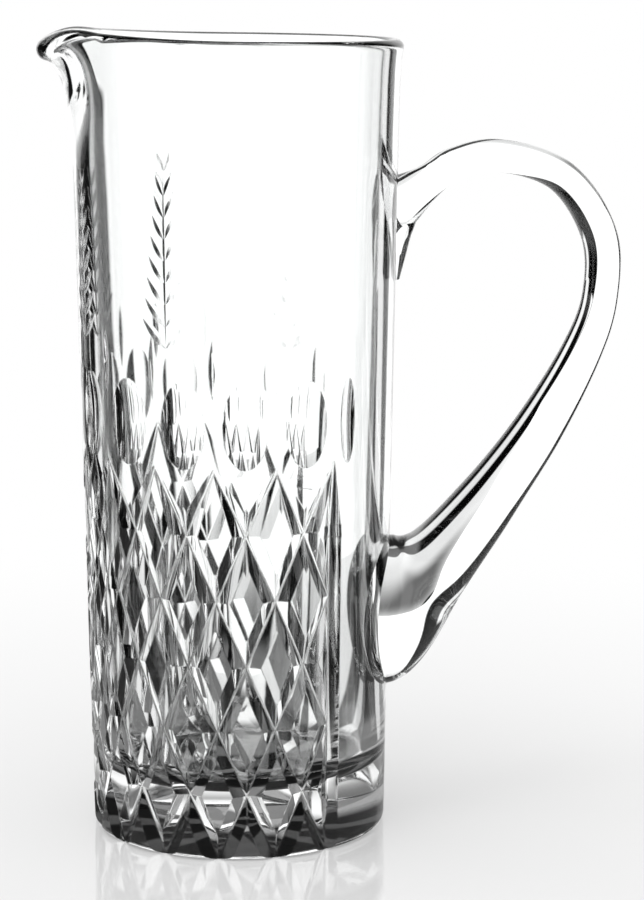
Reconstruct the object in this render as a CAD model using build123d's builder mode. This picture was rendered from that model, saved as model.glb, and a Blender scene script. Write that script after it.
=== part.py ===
from build123d import *
import os
from math import asin, cos, degrees, radians, sin, sqrt, tan

# A cut-glass cocktail pitcher: the blown and cut vessel, and the handle sealed to its wall.
# The origin is on the vessel's axis at the table, +Z is up, the handle is towards +X
# and the spout towards -X. Lengths are in millimetres, and angles in degrees.

# Vessel wall; the lean is the growth of the radius for each unit of height
foot_radius = 47.5
wall_lean = 0.018
foot_bevel = 2.0
base_thickness = 20.0
floor_rounding = 9.0
floor_steps = 2
wall_at_floor = 7.0
wall_at_mouth = 5.1

# Mouth: where the wall leaves its cone, and the flare of the fire-polished rim
rim_height = 254.0
mouth_length = 28.8
flare_start = 0.55
flare_end = 0.15
flare_steps = 4
rim_radius = 53.0
rim_thickness = 5.2
rim_angle = 79.0
rim_steps = 5

# Spout, drawn out of the rim
spout_half_angle = 34.0
spout_margin = 1.0
spout_sections = 15
spout_reach = 62.2
spout_length = 49.0
spout_thickness = 7.2
spout_angle = 12.0
spout_drop = 0.8
spout_shoulder = 2.4

# Lozenge field, cut round the wall except in front of the handle
divisions = 16
field_columns = 11
half_rows = 6
field_top = 124.7
mitre_depth = 2.2
mitre_slope = 32.0
apex_depth = 0.35
cut_clearance = 2.0

# Ovals above the lozenges, each the print of a wheel with a rounded edge
oval_width = 14.4
oval_height = 27.4
oval_depth = 1.3
oval_gap = 5.0
end_oval_width = 6.4
end_oval_depth = 0.9
oval_facets = 4
wheel_margin = 1.6

# Seals of the handle on the wall
upper_seal_drop = 58.0
lower_seal_height = 68.0

# Handle sections from the upper seal to the lower one: stand-off of the middle from the wall,
# its share of the rise between the seals, tilt of the section, thickness and width
handle_stations = (
    (-5.0, 1.0, 90.0, 26.0, 18.0),
    (8.4, 1.086, 114.0, 12.2, 14.6),
    (18.1, 1.14, 116.0, 10.6, 13.8),
    (32.6, 1.161, 87.0, 10.4, 13.6),
    (52.9, 1.108, 50.0, 10.7, 13.8),
    (65.6, 0.964, 14.0, 11.6, 14.2),
    (66.7, 0.805, -13.0, 11.6, 14.8),
    (61.1, 0.663, -26.0, 13.0, 16.4),
    (48.2, 0.473, -32.0, 15.9, 19.6),
    (32.6, 0.294, -35.0, 19.4, 24.0),
    (15.6, 0.12, -57.0, 26.6, 32.0),
    (4.0, 0.02, -84.0, 46.0, 41.0),
    (-6.5, 0.008, -90.0, 50.0, 44.0),
)

# Tail of the upper seal, pressed down the wall: rise above the seal, thickness and width
tail_stations = (
    (6.0, 17.0, 13.0),
    (0.0, 13.0, 14.0),
    (-5.0, 9.6, 13.4),
    (-10.5, 7.0, 11.6),
    (-18.5, 3.0, 6.4),
)

# Sections drawn for each stretch between two stations
handle_steps = 3
handle_sides = 18

# Worked-out sizes
knee_height = rim_height - mouth_length
seam_angle = spout_half_angle + spout_margin
step_angle = 360 / divisions
field_half_angle = field_columns * step_angle / 2
half_row = field_top / half_rows
cut_rise = mitre_depth + cut_clearance
cut_half_width = cut_rise / tan(radians(mitre_slope))
oval_middle = field_top + oval_height / 2
upper_seal_height = rim_height - upper_seal_drop


def mix(start, end, share):
    """Value a given share of the way from start to end."""
    return start + (end - start) * share


def eased(before, start, end, after, share):
    """Value on a smooth curve from start to end, led by the values before and after them."""
    leave = (end - before) / 2
    arrive = (after - start) / 2
    rise = end - start
    bend = 3 * rise - 2 * leave - arrive
    twist = leave + arrive - 2 * rise
    return start + share * (leave + share * (bend + share * twist))


def run_through(stations):
    """Smooth run of sections through a table of stations."""
    rows = (stations[0], *stations, stations[-1])
    run = []
    for first in range(len(stations) - 1):
        for step in range(handle_steps):
            run.append([eased(*values, step / handle_steps) for values in zip(*rows[first:first + 4])])
    return [*run, stations[-1]]


def outer_radius(height):
    """Radius of the uncut outer wall at a height."""
    return foot_radius + wall_lean * height


def inner_radius(height):
    """Radius of the cavity wall at a height."""
    at_floor = outer_radius(base_thickness) - wall_at_floor
    at_mouth = outer_radius(knee_height) - wall_at_mouth
    return mix(at_floor, at_mouth, (height - base_thickness) / (knee_height - base_thickness))


def meridian(azimuth):
    """Upright plane through the axis, its x axis pointing out at an azimuth from the spout."""
    turn = radians(180 + azimuth)
    return Plane(origin=(0, 0, 0), x_dir=(cos(turn), sin(turn), 0), z_dir=(sin(turn), -cos(turn), 0))


def under_wall(azimuth, height, depth):
    """Point at a depth under the uncut outer wall."""
    return meridian(azimuth).from_local_coords(Vector(outer_radius(height) - depth, height, 0))


def spout_share(azimuth):
    """1 along the middle of the spout, easing to 0 at its flanks."""
    if abs(azimuth) >= spout_half_angle:
        return 0.0
    return cos(radians(90 * azimuth / spout_half_angle)) ** 2


def flare(start, lean, end, along):
    """Points up the curve of the wall, from the knee to one edge of the rim."""
    reach = (end - start).length
    leave = start + lean.normalized() * (reach * flare_start)
    arrive = end - along * (reach * flare_end)
    points = []
    for step in range(flare_steps):
        share = step / flare_steps
        rest = 1 - share
        points.append(start * rest ** 3 + leave * (3 * share * rest ** 2)
                      + arrive * (3 * share ** 2 * rest) + end * share ** 3)
    return points


def wall_section(azimuth):
    """Section of the wall from the table to the rounded rim, at one azimuth."""
    share = spout_share(azimuth)
    half = mix(rim_thickness, spout_thickness, share) / 2
    turn = radians(mix(rim_angle, spout_angle, share))
    along = Vector(cos(turn), sin(turn))
    across = Vector(sin(turn), -cos(turn))
    rise = 4 * spout_shoulder * share * (1 - share) - spout_drop * share
    centre = Vector(mix(rim_radius, spout_reach, share) - half, rim_height - half + rise)
    knee = mix(knee_height, rim_height - spout_length, share)
    outer_knee = Vector(outer_radius(knee), knee)
    inner_knee = Vector(inner_radius(knee), knee)
    outer_lean = Vector(wall_lean, 1)
    inner_lean = Vector(inner_radius(1) - inner_radius(0), 1)
    outside = flare(outer_knee, outer_lean, centre + across * half, along)
    inside = flare(inner_knee, inner_lean, centre - across * half, along)
    rim = []
    for step in range(rim_steps + 1):
        bend = radians(180 * step / rim_steps)
        rim.append(centre + across * (half * cos(bend)) + along * (half * sin(bend)))
    floor_middle = Vector(inner_radius(base_thickness) - floor_rounding, base_thickness + floor_rounding)
    corner = []
    for step in range(floor_steps + 1):
        bend = radians(90 * step / floor_steps)
        corner.append(floor_middle + Vector(cos(bend), -sin(bend)) * floor_rounding)
    floor_edge = floor_middle.X - floor_rounding
    with BuildSketch(meridian(azimuth)) as section:
        with BuildLine():
            Polyline((floor_edge, 0), (foot_radius - foot_bevel, 0), (outer_radius(foot_bevel), foot_bevel),
                     *outside, *rim, *inside[::-1], *corner, (floor_edge, base_thickness), close=True)
        make_face()
    return section.sketch


def node_azimuth(row, column):
    """Azimuth of a crossing: even rows lie on the column lines, odd rows half a column on."""
    return -field_half_angle + (column + (row % 2) / 2) * step_angle


def node(row, column):
    """Crossing of two mitres, at the bottom of the cut."""
    depth = mitre_depth if row else apex_depth
    return under_wall(node_azimuth(row, column), field_top - row * half_row, depth)


def mitre(start, end, overrun):
    """Straight mitre cut from one point to another, an open V pointing to the bottom of the cut."""
    along = (end - start).normalized()
    outward = Vector(start.X + end.X, start.Y + end.Y, 0)
    outward -= along * outward.dot(along)
    with BuildPart() as cutter:
        with BuildSketch(Plane(origin=start - along * overrun, x_dir=outward, z_dir=along)):
            with BuildLine():
                Polyline((0, 0), (cut_rise, cut_half_width), (cut_rise, -cut_half_width), close=True)
            make_face()
        extrude(amount=(end - start).length + 2 * overrun)
    return cutter.part


def lozenge_side(row, upper, lower):
    """Mitre from a crossing to one in the next row down, ended by the upright planes through both."""
    first, last = sorted((node_azimuth(row, upper), node_azimuth(row + 1, lower)))
    with BuildPart() as side:
        add(mitre(node(row, upper), node(row + 1, lower), half_row))
        split(bisect_by=meridian(first), keep=Keep.BOTTOM)
        split(bisect_by=meridian(last), keep=Keep.TOP)
    return side.part


def border_mitre(column):
    """Upright mitre along one border of the field, running out at its top."""
    azimuth = node_azimuth(0, column)
    turn = under_wall(azimuth, field_top - half_row, mitre_depth)
    with BuildPart() as border:
        add(mitre(under_wall(azimuth, 0, mitre_depth), turn, cut_clearance))
        add(mitre(turn, node(0, column), cut_clearance))
    return border.part


def oval_wheel(azimuth, width, depth):
    """Stretch of the wheel's edge that leaves an oval of a width and a depth in the wall."""
    wheel_radius = oval_height ** 2 / (8 * depth) + depth / 2
    edge_radius = 1 / (8 * depth / width ** 2 - 1 / outer_radius(oval_middle))
    half = width / 2 + wheel_margin * width / oval_width
    edge = []
    for step in range(oval_facets + 1):
        place = mix(-half, half, step / oval_facets)
        edge.append((wheel_radius - edge_radius + sqrt(edge_radius ** 2 - place ** 2), place))
    back = wheel_radius - depth - cut_clearance
    turn = asin((oval_height / 2 + wheel_margin) / wheel_radius)
    upright = meridian(azimuth)
    outward = (upright.x_dir - Vector(0, 0, wall_lean)).normalized()
    up = upright.z_dir.cross(outward)
    axle = under_wall(azimuth, oval_middle, depth) + outward * wheel_radius
    spoke = outward * -cos(turn) - up * sin(turn)
    heading = up * cos(turn) - outward * sin(turn)
    start = Plane(origin=axle, x_dir=spoke, z_dir=heading)
    with BuildPart() as wheel:
        with BuildSketch(start):
            with BuildLine():
                Polyline(*edge, (back, half), (back, -half), close=True)
            make_face()
        revolve(axis=Axis(axle, start.y_dir * -1), revolution_arc=2 * degrees(turn))
    return wheel.part


def oval(plane, thickness, width):
    """Oval section, drawn with straight sides, its thickness along the plane's x axis."""
    points = []
    for side in range(handle_sides):
        turn = radians(360 * side / handle_sides)
        points.append((thickness / 2 * cos(turn), width / 2 * sin(turn)))
    with BuildSketch(plane) as section:
        with BuildLine():
            Polyline(*points, close=True)
        make_face()
    return section.sketch


def handle_section(stand_off, rise_share, tilt, thickness, width):
    """Section of the handle, across its run from the upper seal to the lower one."""
    height = mix(lower_seal_height, upper_seal_height, rise_share)
    turn = radians(tilt)
    plane = Plane(origin=(outer_radius(height) + stand_off, 0, height),
                  x_dir=(cos(turn), 0, sin(turn)), z_dir=(sin(turn), 0, -cos(turn)))
    return oval(plane, thickness, width)


def tail_section(rise, thickness, width):
    """Level section of the tail, centred on the face of the wall."""
    height = upper_seal_height + rise
    plane = Plane(origin=(outer_radius(height), 0, height), x_dir=(-1, 0, 0), z_dir=(0, 0, -1))
    return oval(plane, thickness, width)


# Cutters: one pair of lozenge sides for each row, the wheels, and the borders of the field
lozenge_sides = []
for row in range(half_rows):
    pairs = ((0, 0), (0, 1)) if row % 2 else ((0, 0), (1, 0))
    lozenge_sides += [lozenge_side(row, upper, lower) for upper, lower in pairs]

wheels = [oval_wheel(node_azimuth(1, column), oval_width, oval_depth) for column in range(field_columns)]
end_turn = degrees((oval_width / 2 + oval_gap + end_oval_width / 2) / outer_radius(oval_middle))
for azimuth in (node_azimuth(1, 0) - end_turn, node_azimuth(1, field_columns - 1) + end_turn):
    wheels.append(oval_wheel(azimuth, end_oval_width, end_oval_depth))

borders = [border_mitre(column) for column in (0, field_columns)]

# Vessel
with BuildPart() as body:
    # Plain wall round the axis, from one flank of the spout to the other
    revolve(wall_section(seam_angle), axis=Axis.Z, revolution_arc=360 - 2 * seam_angle)
    # Wall below and in the spout
    spread = [mix(-seam_angle, seam_angle, k / (spout_sections - 1)) for k in range(spout_sections)]
    loft([wall_section(azimuth) for azimuth in spread], ruled=True)
    # Thick base, ground flat
    Cylinder(inner_radius(base_thickness) - floor_rounding, base_thickness,
             align=(Align.CENTER, Align.CENTER, Align.MIN))
    # Cut decoration
    with PolarLocations(0, field_columns, angular_range=(field_columns - 1) * step_angle, endpoint=True):
        add(lozenge_sides, mode=Mode.SUBTRACT)
    add(borders, mode=Mode.SUBTRACT)
    add(wheels, mode=Mode.SUBTRACT)

# Handle: one gather drawn round from the upper seal to the lower, each seal lying on the wall
with BuildPart() as handle:
    loft([handle_section(*station) for station in run_through(handle_stations)], ruled=True)
    loft([tail_section(*station) for station in run_through(tail_stations)], ruled=True)
    with BuildSketch(Plane.XZ):
        wall_foot = (outer_radius(0), 0)
        wall_top = (outer_radius(rim_height), rim_height)
        Polygon((0, 0), wall_foot, wall_top, (0, rim_height), align=None)
    revolve(axis=Axis.Z, mode=Mode.SUBTRACT)

body.part.label = "pitcher_body"
handle.part.label = "handle"
os.makedirs("parts", exist_ok=True)
export_step(body.part, "parts/pitcher_body.step")
export_step(handle.part, "parts/handle.step")
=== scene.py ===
from math import asin, cos, degrees, pi, radians, sin, sqrt, tan

import bmesh
import bpy
import numpy as np
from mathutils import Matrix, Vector


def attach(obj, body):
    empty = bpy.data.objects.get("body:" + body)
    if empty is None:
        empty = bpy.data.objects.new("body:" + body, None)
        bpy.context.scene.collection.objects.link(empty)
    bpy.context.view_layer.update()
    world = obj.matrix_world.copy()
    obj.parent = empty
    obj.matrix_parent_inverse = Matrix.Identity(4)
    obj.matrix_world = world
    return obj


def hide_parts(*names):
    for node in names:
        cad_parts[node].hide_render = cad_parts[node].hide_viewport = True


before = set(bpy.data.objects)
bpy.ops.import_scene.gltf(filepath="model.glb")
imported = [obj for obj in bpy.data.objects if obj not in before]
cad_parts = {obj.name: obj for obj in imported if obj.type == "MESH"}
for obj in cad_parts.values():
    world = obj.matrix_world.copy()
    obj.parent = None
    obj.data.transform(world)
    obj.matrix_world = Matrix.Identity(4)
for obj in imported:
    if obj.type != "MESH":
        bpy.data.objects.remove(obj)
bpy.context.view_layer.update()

MM = 0.001

# Vessel, in mm and degrees; the lean is the growth of the radius for each unit of height
foot_radius = 47.5
wall_lean = 0.018
foot_rounding = 2.6
base_thickness = 20.0
floor_rounding = 9.0
wall_at_floor = 7.0
wall_at_mouth = 5.1
rim_height = 254.0
rim_lift = 0.3
rim_tilt = 0.6
mouth_length = 28.8
flare_start = 0.55
flare_end = 0.15
rim_radius = 53.0
rim_thickness = 5.2
rim_angle = 79.0
knee_height = rim_height - mouth_length

# Spout, drawn out of the rim
spout_half_angle = 34.0
spout_reach = 62.2
spout_length = 49.0
spout_thickness = 7.2
spout_angle = 12.0
spout_lift = 2.0
spout_drop = 2.7
spout_shoulder = 1.55
spout_throat = 14.0

# Lozenge field
divisions = 16
field_columns = 11
half_rows = 6
field_top = 124.7
mitre_depth = 2.2
mitre_slope = 32.0
apex_depth = 0.35
groove_rounding = 0.7
cut_clearance = 2.0
step_angle = 360 / divisions
field_half_angle = field_columns * step_angle / 2
half_row = field_top / half_rows
cut_rise = mitre_depth + cut_clearance
cut_half_width = cut_rise / tan(radians(mitre_slope))

# Ovals above the lozenges, and spikes between them
oval_width = 14.4
oval_height = 27.4
oval_depth = 2.0
oval_gap = 5.0
end_oval_width = 6.4
end_oval_depth = 1.2
oval_middle = field_top + oval_height / 2
spike_height = 156.0
spike_length = 20.0
spike_width = 2.6
spike_depth = 0.7

# Leaf sprays, on both sides of the spout
spray_azimuths = (18, 62, 106)
spray_bottom = 162.0
spray_leaves = 8
leaf_spacing = 6.6
leaf_length = 12.0
tip_leaf_length = 7.0
leaf_width = 2.8
leaf_depth = 0.35
leaf_lean = 42.0
tip_leaf_lean = 22.0
stem_width = 1.2
stem_depth = 0.2
stem_length = spray_leaves * leaf_spacing

# How far a cutting wheel reaches past its print: shares of length and width, and mm above the wall
wheel_overrun = 1.12
wheel_overwidth = 1.22
wheel_cover = 2.5

# Handle: stand-off from the wall, share of the height between the seals, tilt, thickness, width
upper_seal_drop = 58.0
upper_seal_height = rim_height - upper_seal_drop
lower_seal_height = 68.0
handle_stations = [
    (-5, 1, 90, 26, 18),
    (8.4, 1.086, 114, 12.2, 14.6),
    (18.1, 1.14, 116, 10.6, 13.8),
    (32.6, 1.161, 87, 10.4, 13.6),
    (52.9, 1.108, 50, 10.7, 13.8),
    (65.6, 0.964, 14, 11.6, 14.2),
    (66.7, 0.805, -13, 11.6, 14.8),
    (61.1, 0.663, -26, 13, 16.4),
    (48.2, 0.473, -32, 15.9, 19.6),
    (32.6, 0.294, -35, 19.4, 24),
    (15.6, 0.12, -57, 26.6, 32),
    (4, 0.02, -84, 46, 41),
    (-6.5, 0.008, -90, 50, 44),
]

# Tail of the upper seal: rise above the seal, thickness and width
tail_stations = [
    (11, 19, 11),
    (0, 13, 14),
    (-5, 9.6, 13.4),
    (-10.5, 7, 11.6),
    (-18.5, 3, 6.4),
]

# Core of the wall, which trims the handle: its depth under the surface, and its two ends
seal_depth = 0.25
core_heights = (10, 240)

# Fineness of the meshes
wall_turns = 576
base_ring_radii = (12, 24, 34, 41)
foot_points = 18
first_wall_height = 8
wall_points = 36
flare_points = 22
rim_points = 25
last_wall_margin = 4
floor_points = 24
floor_ring_radii = (24, 16, 8)
groove_points = 9
wheel_steps = 25
wheel_points = 17
handle_steps = 14
handle_sides = 56
core_sides = 720
crease_angle = radians(9)

# Glass
glass_colour = (0.985, 0.992, 0.99, 1)
glass_ior = 1.545
ripple_detail = 1.5
soft_edge_samples = 4

# Studio: what the glass sees of it, by bearing from the side behind the pitcher, in degrees.
# Each window has its two edges, their softness, its brightness and the height where it ends.
floor_window = (-12, 31, 1.5, 1.1, 0)
windows = [
    (40, 53, 3, 1.1, 4), (-53, -42, 3, 1.1, 4),
    (80, 100, 4, 1.1, 12), (-100, -80, 4, 1.1, 12),
    (125, 145, 4, 1.1, 12), (-145, -125, 4, 1.1, 12),
    (170, 190, 4, 1.1, 12), (-190, -170, 4, 1.1, 12),
]
window_edge = 3.0
panel_level = 0.002
room_level = 0.75

# White that the outer faces mirror: its bearings, the dim room beside it, and its fall with height
gloss_bearings = (-32, -18, 34, 48)
gloss_room = 0.03
gloss_heights = (15, 40)
gloss_high_level = 0.1

# Table, in metres; its levels are the painted light and shade of its glow that the glass sees at a reach
# from the pitcher's axis
floor_size = 0.9
table_colour = (0.88, 0.88, 0.88, 1)
table_ior = 2.6
table_roughness = 0.06
white_reach = (0.10, 0.42)
white_near_share = 0.3
# painted shadow: the table's glow, as the glass sees it, darkens towards and under the pitcher's foot
foot_shadow_reach = (0.048, 0.07)
foot_shadow_level = 0.15
# painted shade: a dark ring in the table's glow round the foot, darker behind the pitcher than beside it
ring_inner_edge = (0.08, 0.13)
ring_outer_edge = (0.24, 0.45)
ring_bearings = (-24, -14, 8, 20)
ring_level_behind = 0.15
ring_level_beside = 0.8
# painted light: close to the foot the table's glow in the glass never falls below the lift level
near_reach = (0.05, 0.07, 0.12, 0.15)
near_painted_lift = 0.2

# Screen behind the pitcher, in metres, and its brightness from low to high
screen_left = -0.12
screen_right = 0.24
screen_top = 0.9
screen_distance = 0.35
screen_softness = 0.012
screen_fade_height = 0.35
screen_level = 1.3
screen_top_level = 0.7

# Lamp and camera
lamp_place = (-0.2, -0.2, 1.3)
lamp_target = Vector((0, 0, 0.1))
camera_turn = radians(-2.85)
camera_distance = 863 * MM
camera_height = 280 * MM
camera_pan = radians(1.81)
camera_pitch = radians(10.35)


def mix(start, end, share):
    """Value a given share of the way from start to end."""
    return start + (end - start) * share


def outer_radius(height):
    """Radius of the uncut outer wall at a height."""
    return foot_radius + wall_lean * height


def inner_radius(height):
    """Radius of the cavity wall at a height."""
    at_floor = outer_radius(base_thickness) - wall_at_floor
    at_mouth = outer_radius(knee_height) - wall_at_mouth
    return mix(at_floor, at_mouth, (height - base_thickness) / (knee_height - base_thickness))


def radial(azimuth):
    """Outward direction at an azimuth from the spout, in degrees."""
    turn = radians(180 + azimuth)
    return Vector((cos(turn), sin(turn), 0))


def under_wall(azimuth, height, depth):
    """Point at a depth under the uncut outer wall."""
    return radial(azimuth) * (outer_radius(height) - depth) + Vector((0, 0, height))


def spout_share(azimuth):
    """1 along the middle of the spout, easing to 0 at its flanks."""
    if abs(azimuth) >= spout_half_angle:
        return 0.0
    return cos(radians(90 * azimuth / spout_half_angle)) ** 2


def bezier(points, count):
    """Points along a cubic curve, its ends left out."""
    share = np.linspace(0, 1, count + 2)[1:-1, None]
    first, second, third, last = [np.array(point, float) for point in points]
    rest = 1 - share
    return list(first * rest ** 3 + 3 * second * share * rest ** 2
                + 3 * third * share ** 2 * rest + last * share ** 3)


def arc(centre, radius, start, end, count):
    """Points along an arc between two angles in degrees."""
    turns = np.radians(np.linspace(start, end, count))
    return [np.array(centre) + radius * np.array((cos(turn), sin(turn))) for turn in turns]


def flare(start, lean, end, along):
    """Curve of the wall from the knee up to the edge of the rim."""
    start, end, along = np.array(start), np.array(end), np.array(along)
    reach = np.linalg.norm(end - start)
    lean = np.array(lean) / np.linalg.norm(lean)
    leave = start + lean * reach * flare_start
    arrive = end - along * reach * flare_end
    return bezier((start, leave, arrive, end), flare_points)


def rim_rise(azimuth, share):
    """Height of the rim over its plain level: its tilt, the lift to the spout and the dip of the lip."""
    facing = cos(radians(azimuth))
    rise = rim_lift + rim_tilt * facing + spout_lift * max(facing, 0) ** 2
    rise += 4 * spout_shoulder * share * (1 - share) - spout_drop * share
    return rise


def wall_profile(azimuth):
    """Radius and height along the wall at one azimuth: base, outside, rim, inside and floor."""
    share = spout_share(azimuth)
    half = mix(rim_thickness, spout_thickness, share) / 2
    turn = mix(rim_angle, spout_angle, share)
    along = np.array((cos(radians(turn)), sin(radians(turn))))
    across = np.array((along[1], -along[0])) * half
    rise = rim_rise(azimuth, share)
    centre = np.array((mix(rim_radius, spout_reach, share) - half, rim_height - half + rise))
    knee = mix(knee_height, rim_height - spout_length, share)
    throat = mix(knee_height, rim_height - spout_throat, share)
    outer_lean = (wall_lean, 1)
    inner_lean = (inner_radius(1) - inner_radius(0), 1)
    top_of_floor = base_thickness + floor_rounding
    outside = np.linspace(first_wall_height, knee, wall_points)
    inside = np.linspace(throat, top_of_floor + last_wall_margin, wall_points)
    floor_centre = (inner_radius(base_thickness) - floor_rounding, top_of_floor)

    points = [np.array((radius, 0.0)) for radius in base_ring_radii]
    points += arc((foot_radius - foot_rounding, foot_rounding), foot_rounding, -90, 0, foot_points)
    points += [np.array((outer_radius(height), height)) for height in outside]
    points += flare((outer_radius(knee), knee), outer_lean, centre + across, along)
    points += arc(centre, half, turn - 90, turn + 90, rim_points)
    points += flare((inner_radius(throat), throat), inner_lean, centre - across, along)[::-1]
    points += [np.array((inner_radius(height), height)) for height in inside]
    points += arc(floor_centre, floor_rounding, 0, -90, floor_points)
    points += [np.array((radius, base_thickness)) for radius in floor_ring_radii]
    return points


def mesh_piece(name, points, faces, material):
    """Object of a closed mesh given in mm, its faces turned outwards."""
    mesh = bpy.data.meshes.new(name)
    mesh.from_pydata([tuple(Vector(point) * MM) for point in points], [], faces)
    mesh.materials.append(material)
    shape = bmesh.new()
    shape.from_mesh(mesh)
    bmesh.ops.recalc_face_normals(shape, faces=shape.faces)
    shape.to_mesh(mesh)
    shape.free()
    piece = bpy.data.objects.new(name, mesh)
    bpy.context.scene.collection.objects.link(piece)
    return piece


def ring_faces(rings, sides, first=0):
    """Faces of a tube of rings, with flat ends."""
    faces = [tuple(first + side for side in range(sides))]
    for ring in range(rings - 1):
        for side in range(sides):
            here = first + ring * sides
            after = (side + 1) % sides
            faces.append((here + side, here + after, here + sides + after, here + sides + side))
    faces.append(tuple(first + (rings - 1) * sides + side for side in reversed(range(sides))))
    return faces


def tubes(name, tube_list, material):
    """One object of several tubes, each a list of rings of points."""
    points, faces = [], []
    for rings in tube_list:
        faces += ring_faces(len(rings), len(rings[0]), len(points))
        points += [point for ring in rings for point in ring]
    return mesh_piece(name, points, faces, material)


def add_boolean(piece, other, operation):
    """Modifier that joins another object to a piece, or cuts it out."""
    made = piece.modifiers.new(other.name, "BOOLEAN")
    made.object = other
    made.operation = operation
    made.solver = "MANIFOLD"
    return made


def apply_modifiers(piece):
    """Keeps a piece's shape with its modifiers in its own mesh."""
    graph = bpy.context.evaluated_depsgraph_get()
    mesh = bpy.data.meshes.new_from_object(piece.evaluated_get(graph))
    piece.modifiers.clear()
    piece.data = mesh


def carve(piece, cutters):
    """Cuts the shapes of other objects out of a piece, leaving their materials on the cuts."""
    for cutter in cutters:
        add_boolean(piece, cutter, "DIFFERENCE").material_mode = "TRANSFER"
    apply_modifiers(piece)


def remove(pieces):
    """Takes objects that were only used to cut or join out of the scene."""
    for piece in pieces:
        bpy.data.objects.remove(piece)


def crease(piece):
    """Smooth shading, with creases where facets meet or one kind of surface ends."""
    shape = bmesh.new()
    shape.from_mesh(piece.data)
    for face in shape.faces:
        face.smooth = True
    for edge in shape.edges:
        kinds = {face.material_index for face in edge.link_faces}
        edge.smooth = len(kinds) == 1 and edge.calc_face_angle(pi) < crease_angle
    shape.to_mesh(piece.data)
    shape.free()


# Materials
def glass(name, roughness, ripple, ripple_size, soft_edge=0.0):
    """Clear lead crystal with a faint unevenness of its surface, and softened edges where asked."""
    material = bpy.data.materials.new(name)
    material.use_nodes = True
    nodes, links = material.node_tree.nodes, material.node_tree.links
    shader = nodes["Principled BSDF"]
    shader.inputs["Base Color"].default_value = glass_colour
    shader.inputs["Transmission Weight"].default_value = 1.0
    shader.inputs["IOR"].default_value = glass_ior
    shader.inputs["Roughness"].default_value = roughness
    place = nodes.new("ShaderNodeTexCoord")
    noise = nodes.new("ShaderNodeTexNoise")
    noise.inputs["Scale"].default_value = 1 / (ripple_size * MM)
    noise.inputs["Detail"].default_value = ripple_detail
    bump = nodes.new("ShaderNodeBump")
    bump.inputs["Strength"].default_value = 1.0
    bump.inputs["Distance"].default_value = ripple * MM
    links.new(place.outputs["Object"], noise.inputs["Vector"])
    links.new(noise.outputs["Fac"], bump.inputs["Height"])
    links.new(bump.outputs["Normal"], shader.inputs["Normal"])
    if soft_edge:
        polish = nodes.new("ShaderNodeBevel")
        polish.samples = soft_edge_samples
        polish.inputs["Radius"].default_value = soft_edge * MM
        links.new(polish.outputs["Normal"], bump.inputs["Normal"])
    return material


def clear_seal(name):
    """Inner face between two pieces fused into one glass, which bends no light."""
    material = bpy.data.materials.new(name)
    material.use_nodes = True
    nodes, links = material.node_tree.nodes, material.node_tree.links
    nodes.remove(nodes["Principled BSDF"])
    see_through = nodes.new("ShaderNodeBsdfTransparent")
    links.new(see_through.outputs["BSDF"], nodes["Material Output"].inputs["Surface"])
    return material


crystal = glass("blown_crystal", roughness=0.0, ripple=0.05, ripple_size=26, soft_edge=0.5)
cut_crystal = glass("cut_crystal", roughness=0.0, ripple=0.03, ripple_size=6, soft_edge=0.5)
engraved = glass("engraved_crystal", roughness=0.16, ripple=0.02, ripple_size=0.7)
drawn_crystal = glass("drawn_crystal", roughness=0.0, ripple=0.04, ripple_size=14)
seal = clear_seal("fused_seal")


# Blank of the vessel
azimuths = np.arange(wall_turns) * 360 / wall_turns
profiles = [wall_profile(azimuth if azimuth <= 180 else azimuth - 360) for azimuth in azimuths]
rows = len(profiles[0])
points = []
for row in range(rows):
    for azimuth, profile in zip(azimuths, profiles):
        radius, height = profile[row]
        points.append(radial(azimuth) * radius + Vector((0, 0, height)))
faces = ring_faces(rows, wall_turns)[1:-1]
points += [(0, 0, 0), (0, 0, base_thickness)]
last = (rows - 1) * wall_turns
for turn in range(wall_turns):
    after = (turn + 1) % wall_turns
    faces.append((after, turn, len(points) - 2))
    faces.append((last + turn, last + after, len(points) - 1))
vessel = mesh_piece("pitcher_body_crystal", points, faces, crystal)


# Cuts
def node_azimuth(row, column):
    """Azimuth of a crossing: even rows lie on the column lines, odd rows half a column on."""
    return -field_half_angle + (column + (row % 2) / 2) * step_angle


def node(row, column):
    """Crossing of two mitres, at the bottom of the cut."""
    depth = mitre_depth if row else apex_depth
    return under_wall(node_azimuth(row, column), field_top - row * half_row, depth)


def mitre_edges(start, end):
    """Run of a mitre and starting points of its long edges, the bottom of the V a little rounded."""
    along = (end - start).normalized()
    outward = Vector((start.x + end.x, start.y + end.y, 0))
    outward = (outward - along * outward.dot(along)).normalized()
    aside = along.cross(outward)
    slope = radians(mitre_slope)
    middle = groove_rounding / cos(slope)
    section = [(cut_rise, cut_half_width)]
    for turn in np.linspace(slope, -slope, groove_points):
        section.append((middle - groove_rounding * cos(turn), groove_rounding * sin(turn)))
    section.append((cut_rise, -cut_half_width))
    edges = [start + outward * rise + aside * place for rise, place in section]
    return along, edges


def lozenge_side(row, upper, lower):
    """Mitre between two crossings, ended by the upright planes through both."""
    along, edges = mitre_edges(node(row, upper), node(row + 1, lower))
    rings = []
    for azimuth in (node_azimuth(row, upper), node_azimuth(row + 1, lower)):
        facing = radial(azimuth + 90)
        rings.append([edge - along * (edge.dot(facing) / along.dot(facing)) for edge in edges])
    return rings


def border_mitre(start, end):
    """Mitre with square ends, each a little past its point."""
    along, edges = mitre_edges(start, end)
    length = (end - start).length
    return [[edge + along * place for edge in edges] for place in (-cut_clearance, length + cut_clearance)]


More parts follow.
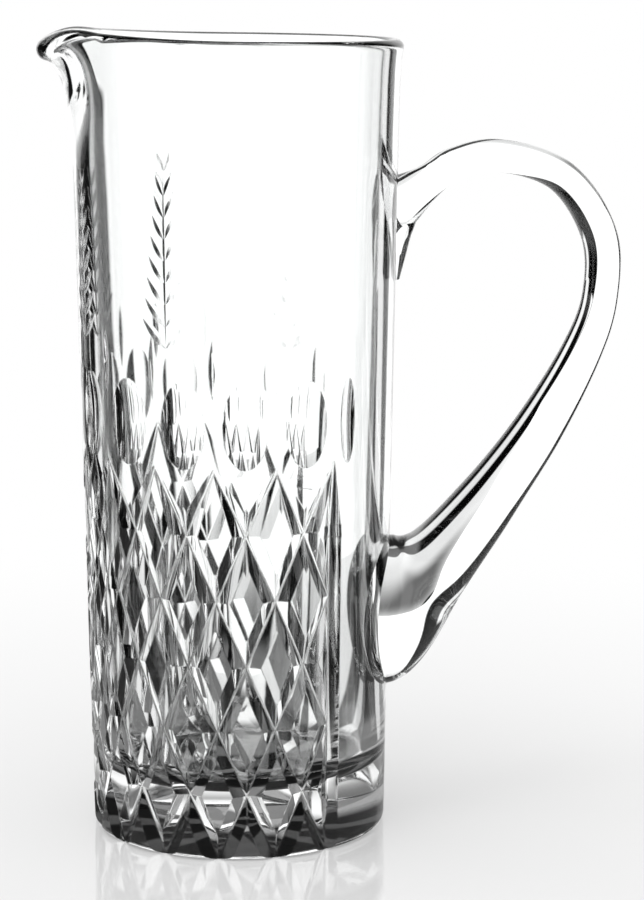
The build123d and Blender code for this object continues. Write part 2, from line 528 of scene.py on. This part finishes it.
def wheel_cut(azimuth, height, lean, length, width, depth, pointed):
    """Wheel edge that leaves an oval, or a pointed leaf with a V section, at a lean from upright."""
    wall = outer_radius(height)
    outward = (radial(azimuth) - Vector((0, 0, wall_lean))).normalized()
    level = Vector((0, 0, 1)).cross(radial(azimuth))
    upright = outward.cross(level)
    run = upright * cos(radians(lean)) + level * sin(radians(lean))
    aside = run.cross(outward)
    wheel = 1 / (8 * depth / length ** 2 - sin(radians(lean)) ** 2 / wall)
    half = width / 2 * wheel_overwidth
    axle = under_wall(azimuth, height, depth) + outward * wheel
    turn = asin(length / 2 * wheel_overrun / wheel)
    if pointed:
        slope = 2 * depth / width
        section = [(place, wheel - abs(place) * slope) for place in (-half, 0, half)]
    else:
        edge = 1 / (8 * depth / width ** 2 - cos(radians(lean)) ** 2 / wall)
        section = [(place, wheel - edge + sqrt(edge ** 2 - place ** 2))
                   for place in np.linspace(-half, half, wheel_points)]
    back = wheel - depth - wheel_cover
    section += [(half, back), (-half, back)]
    rings = []
    for angle in np.linspace(-turn, turn, wheel_steps):
        spoke = run * sin(angle) - outward * cos(angle)
        rings.append([axle + spoke * reach + aside * place for place, reach in section])
    return rings


def leaf_cut(azimuth, number, hand):
    """One leaf of a spray, growing out of the stem at an azimuth to one hand."""
    share = number / (spray_leaves - 1)
    length = mix(leaf_length, tip_leaf_length, share)
    lean = mix(leaf_lean, tip_leaf_lean, share)
    height = spray_bottom + number * leaf_spacing + length / 2 * cos(radians(lean))
    aside = degrees(length / 2 * sin(radians(lean)) / outer_radius(height))
    width = leaf_width * length / leaf_length
    return wheel_cut(azimuth + hand * aside, height, hand * lean, length, width, leaf_depth, True)


cutters = []
for row in range(half_rows):
    for upper, lower in ((0, 0), (0, 1)) if row % 2 else ((0, 0), (1, 0)):
        sides = [lozenge_side(row, upper + column, lower + column) for column in range(field_columns)]
        cutters.append(tubes(f"mitres_{row}_{upper}{lower}", sides, cut_crystal))
lower_borders, upper_borders = [], []
for column in (0, field_columns):
    azimuth = node_azimuth(0, column)
    bend = under_wall(azimuth, field_top - half_row, mitre_depth)
    lower_borders.append(border_mitre(under_wall(azimuth, 0, mitre_depth), bend))
    upper_borders.append(border_mitre(bend, node(0, column)))
cutters.append(tubes("lower_borders", lower_borders, cut_crystal))
cutters.append(tubes("upper_borders", upper_borders, cut_crystal))

ovals = [wheel_cut(node_azimuth(1, column), oval_middle, 0, oval_height, oval_width, oval_depth, False)
         for column in range(field_columns)]
end_turn = degrees((oval_width / 2 + oval_gap + end_oval_width / 2) / outer_radius(oval_middle))
for azimuth in (node_azimuth(1, 0) - end_turn, node_azimuth(1, field_columns - 1) + end_turn):
    ovals.append(wheel_cut(azimuth, oval_middle, 0, oval_height, end_oval_width, end_oval_depth, False))
cutters.append(tubes("ovals", ovals, cut_crystal))
spikes = [wheel_cut(node_azimuth(0, column), spike_height, 0, spike_length, spike_width, spike_depth, True)
          for column in range(1, field_columns)]
cutters.append(tubes("spikes", spikes, cut_crystal))

sprays = [side for azimuth in spray_azimuths for side in (azimuth, -azimuth)]
stem_middle = spray_bottom + stem_length / 2
stems = [wheel_cut(azimuth, stem_middle, 0, stem_length, stem_width, stem_depth, True) for azimuth in sprays]
cutters.append(tubes("stems", stems, engraved))
for hand in (-1, 1):
    leaves = [leaf_cut(azimuth, number, hand) for azimuth in sprays for number in range(spray_leaves)]
    cutters.append(tubes(f"leaves_{hand}", leaves, engraved))


# Handle
def run_through(stations, steps):
    """Smooth run of rows through a table of stations."""
    table = np.array(stations, float)
    rows = np.vstack([table[0], table, table[-1]])
    run = []
    for first in range(len(table) - 1):
        before, start, end, after = rows[first:first + 4]
        leave = (end - before) / 2
        arrive = (after - start) / 2
        rise = end - start
        for share in np.arange(steps) / steps:
            run.append(start + share * (leave + share * (
                3 * rise - 2 * leave - arrive + share * (leave + arrive - 2 * rise))))
    return run + [table[-1]]


def oval_ring(height, stand_off, direction, thickness, width):
    """Ring of points round an oval section of the handle, at a stand-off from the wall."""
    centre = Vector((outer_radius(height) + stand_off, 0, height))
    aside = Vector((0, 1, 0))
    return [centre + direction * (thickness / 2 * cos(turn)) + aside * (width / 2 * sin(turn))
            for turn in np.linspace(0, 2 * pi, handle_sides, endpoint=False)]


strap = []
for stand_off, rise_share, tilt, thickness, width in run_through(handle_stations, handle_steps):
    height = mix(lower_seal_height, upper_seal_height, rise_share)
    direction = Vector((cos(radians(tilt)), 0, sin(radians(tilt))))
    strap.append(oval_ring(height, stand_off, direction, thickness, width))
tail = []
for rise, thickness, width in run_through(tail_stations, handle_steps):
    tail.append(oval_ring(upper_seal_height + rise, 0, Vector((-1, 0, 0)), thickness, width))
handle = tubes("handle_crystal", [strap], drawn_crystal)
tail_end = tubes("handle_tail", [tail], drawn_crystal)
add_boolean(handle, tail_end, "UNION")
apply_modifiers(handle)

core_turns = np.linspace(0, 360, core_sides, endpoint=False)
core_rings = [[under_wall(turn, height, seal_depth) for turn in core_turns] for height in core_heights]
core = tubes("wall_core", [core_rings], seal)
carve(handle, [core])
carve(vessel, cutters + [handle])
remove(cutters + [tail_end, core])
crease(vessel)
crease(handle)

for piece, node_name in ((vessel, "pitcher_body"), (handle, "handle")):
    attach(piece, "root")
    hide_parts(node_name)


# Shader nodes of the studio
def link_or_set(tree, socket, value):
    """Feeds a socket from another one, or with a number."""
    if isinstance(value, (int, float)):
        socket.default_value = value
    else:
        tree.links.new(value, socket)


def math_node(tree, operation, first, second=0.0):
    """Math node fed by sockets or numbers."""
    made = tree.nodes.new("ShaderNodeMath")
    made.operation = operation
    link_or_set(tree, made.inputs[0], first)
    link_or_set(tree, made.inputs[1], second)
    return made.outputs[0]


def ramp_node(tree, value, start, end, low=0.0, high=1.0):
    """Smooth change of a socket's value, from low at start to high at end."""
    ramp = tree.nodes.new("ShaderNodeMapRange")
    ramp.interpolation_type = "SMOOTHSTEP"
    for name, number in (("From Min", start), ("From Max", end), ("To Min", low), ("To Max", high)):
        ramp.inputs[name].default_value = number
    tree.links.new(value, ramp.inputs["Value"])
    return ramp.outputs["Result"]


def band_node(tree, value, start, full_start, full_end, end):
    """1 inside a band of values, easing to 0 at its two ends."""
    rise = ramp_node(tree, value, start, full_start)
    fall = ramp_node(tree, value, end, full_end)
    return math_node(tree, "MULTIPLY", rise, fall)


def choose_node(tree, flag, no, yes):
    """Second value where the flag is 1, and the first elsewhere."""
    choice = tree.nodes.new("ShaderNodeMix")
    tree.links.new(flag, choice.inputs["Factor"])
    link_or_set(tree, choice.inputs["A"], no)
    link_or_set(tree, choice.inputs["B"], yes)
    return choice.outputs["Result"]


def split_node(tree, vector):
    """X, Y and Z of a vector."""
    axes = tree.nodes.new("ShaderNodeSeparateXYZ")
    tree.links.new(vector, axes.inputs[0])
    return axes.outputs


def bearing_of(tree, axes):
    """Bearing of a direction or place, in degrees, 0 towards +Y and positive towards +X."""
    turn = math_node(tree, "ARCTAN2", axes["X"], axes["Y"])
    return math_node(tree, "MULTIPLY", turn, degrees(1))


def window_level(tree, bearing, openings, height=None):
    """Brightness of the windows and dark panels at a bearing, and at a height where one is given."""
    level = panel_level
    for start, end, softness, strength, top in openings:
        inside = band_node(tree, bearing, start, start + softness, end - softness, end)
        inside = math_node(tree, "MULTIPLY", inside, strength - panel_level)
        if height is not None:
            inside = math_node(tree, "MULTIPLY", inside, ramp_node(tree, height, top + window_edge, top))
        level = math_node(tree, "MAXIMUM", math_node(tree, "ADD", inside, panel_level), level)
    return level


def gloss_level(tree, bearing):
    """Brightness that the outer faces mirror: the white behind the pitcher, and a dim room elsewhere."""
    behind = band_node(tree, bearing, *gloss_bearings)
    return math_node(tree, "ADD", math_node(tree, "MULTIPLY", behind, 1 - gloss_room), gloss_room)


def painted_table_in_glass(tree, bearing, reach):
    """Painted light and shade of the table seen through the glass: the studio's windows painted on it, a
    painted shadow at the foot and painted shade in a ring round it.
    """
    # painted shadow at the foot
    under = ramp_node(tree, reach, *foot_shadow_reach, foot_shadow_level, 1.0)
    # painted shade in a ring round the foot
    clear = math_node(tree, "MAXIMUM", ramp_node(tree, reach, *ring_inner_edge, 1.0, 0.0),
                      ramp_node(tree, reach, *ring_outer_edge))
    behind = band_node(tree, bearing, *ring_bearings)
    ring_level = choose_node(tree, behind, ring_level_beside, ring_level_behind)
    painted_ring_shade = choose_node(tree, clear, ring_level, 1.0)
    # painted light: the studio's windows and dark panels painted on the table's glow by bearing
    lit = window_level(tree, bearing, [floor_window] + windows)
    lit = math_node(tree, "MULTIPLY", lit, math_node(tree, "MULTIPLY", under, painted_ring_shade))
    # painted light lifting the glow close to the foot
    near = band_node(tree, reach, *near_reach)
    return math_node(tree, "MAXIMUM", lit, math_node(tree, "MULTIPLY", near, near_painted_lift))


def plane(name, corners, material):
    """Flat four-sided object for the studio, in metres."""
    mesh = bpy.data.meshes.new(name)
    mesh.from_pydata(corners, [], [(0, 1, 2, 3)])
    mesh.materials.append(material)
    made = bpy.data.objects.new(name, mesh)
    bpy.context.scene.collection.objects.link(made)
    return made


# Floor: pale and polished, white further off, and glowing in the glass with the studio behind it painted on
# as light and shade
table = bpy.data.materials.new("pale_table")
table.use_nodes = True
tree = table.node_tree
shader = tree.nodes["Principled BSDF"]
shader.inputs["Base Color"].default_value = table_colour
shader.inputs["IOR"].default_value = table_ior
shader.inputs["Roughness"].default_value = table_roughness
paths = tree.nodes.new("ShaderNodeLightPath").outputs
place = tree.nodes.new("ShaderNodeTexCoord")
spread = tree.nodes.new("ShaderNodeVectorMath")
spread.operation = "LENGTH"
tree.links.new(place.outputs["Object"], spread.inputs[0])
reach = spread.outputs["Value"]
bearing = bearing_of(tree, split_node(tree, place.outputs["Object"]))
fade = ramp_node(tree, reach, *white_reach, white_near_share, 1.0)
seen = math_node(tree, "MAXIMUM", paths["Is Camera Ray"], paths["Is Glossy Ray"])
seen = math_node(tree, "MULTIPLY", seen, fade)
# where the glass mirrors the table, its glow is painted light, white behind the pitcher and dim elsewhere;
# where the glass is looked through, it glows with the painted light and shade above
strength = choose_node(tree, paths["Is Glossy Ray"], 1.0, gloss_level(tree, bearing))
strength = choose_node(tree, paths["Is Transmission Ray"], strength, painted_table_in_glass(tree, bearing, reach))
glow = tree.nodes.new("ShaderNodeEmission")
tree.links.new(strength, glow.inputs["Strength"])
blend = tree.nodes.new("ShaderNodeMixShader")
tree.links.new(math_node(tree, "MAXIMUM", seen, paths["Is Transmission Ray"]), blend.inputs["Fac"])
tree.links.new(shader.outputs["BSDF"], blend.inputs[1])
tree.links.new(glow.outputs["Emission"], blend.inputs[2])
tree.links.new(blend.outputs["Shader"], tree.nodes["Material Output"].inputs["Surface"])
floor = plane("floor", [(-floor_size, -floor_size, 0), (floor_size, -floor_size, 0),
                        (floor_size, floor_size, 0), (-floor_size, floor_size, 0)], table)

# White screen behind the pitcher, seen only through the glass
white = bpy.data.materials.new("white_screen")
white.use_nodes = True
tree = white.node_tree
tree.nodes.remove(tree.nodes["Principled BSDF"])
place = tree.nodes.new("ShaderNodeTexCoord")
axes = split_node(tree, place.outputs["Object"])
sides = band_node(tree, axes["X"], screen_left, screen_left + screen_softness,
                  screen_right - screen_softness, screen_right)
upwards = ramp_node(tree, axes["Z"], screen_fade_height, screen_top, screen_level, screen_top_level)
glow = tree.nodes.new("ShaderNodeEmission")
tree.links.new(math_node(tree, "MULTIPLY", sides, upwards), glow.inputs["Strength"])
tree.links.new(glow.outputs["Emission"], tree.nodes["Material Output"].inputs["Surface"])
screen = plane("screen", [(screen_left, screen_distance, 0), (screen_right, screen_distance, 0),
                          (screen_right, screen_distance, screen_top),
                          (screen_left, screen_distance, screen_top)], white)
for ray in ("camera", "diffuse", "glossy", "shadow"):
    setattr(screen, f"visible_{ray}", False)

# World: white to the camera, windows and dark panels to the glass
scene = bpy.context.scene
world = bpy.data.worlds.new("studio")
world.use_nodes = True
scene.world = world
tree = world.node_tree
axes = split_node(tree, tree.nodes.new("ShaderNodeTexCoord").outputs["Generated"])
bearing = bearing_of(tree, axes)
height = math_node(tree, "MULTIPLY", math_node(tree, "ARCSINE", axes["Z"]), degrees(1))
gloss = math_node(tree, "MULTIPLY", gloss_level(tree, bearing),
                  ramp_node(tree, height, *gloss_heights, 1.0, gloss_high_level))
paths = tree.nodes.new("ShaderNodeLightPath").outputs
strength = choose_node(tree, paths["Is Glossy Ray"], room_level, gloss)
strength = choose_node(tree, paths["Is Transmission Ray"], strength,
                       window_level(tree, bearing, windows, height))
strength = choose_node(tree, paths["Is Camera Ray"], strength, 1.0)
background = tree.nodes["Background"]
background.inputs["Color"].default_value = (1, 1, 1, 1)
tree.links.new(strength, background.inputs["Strength"])

# Soft lamp from above
lamp = bpy.data.lights.new("softbox", "AREA")
lamp.shape = "DISK"
lamp.size = 0.8
lamp.energy = 5
softbox = bpy.data.objects.new("softbox", lamp)
softbox.location = lamp_place
softbox.rotation_euler = (lamp_target - softbox.location).to_track_quat("-Z", "Y").to_euler()
softbox.visible_transmission = False
softbox.visible_glossy = False
scene.collection.objects.link(softbox)

# Camera
camera_data = bpy.data.cameras.new("camera")
camera_data.lens = 108.8
camera_data.sensor_width = 36
camera_data.clip_start = 0.01
camera = bpy.data.objects.new("camera", camera_data)
camera.location = (camera_distance * sin(camera_turn), -camera_distance * cos(camera_turn), camera_height)
look = camera_pan - camera_turn
sight = Vector((sin(look) * cos(camera_pitch), cos(look) * cos(camera_pitch), -sin(camera_pitch)))
camera.rotation_euler = sight.to_track_quat("-Z", "Y").to_euler()
scene.collection.objects.link(camera)
scene.camera = camera

# Picture
scene.view_settings.view_transform = "Standard"
scene.cycles.max_bounces = 40
scene.cycles.transmission_bounces = 40
scene.cycles.glossy_bounces = 12
scene.cycles.transparent_max_bounces = 40
scene.cycles.caustics_reflective = False
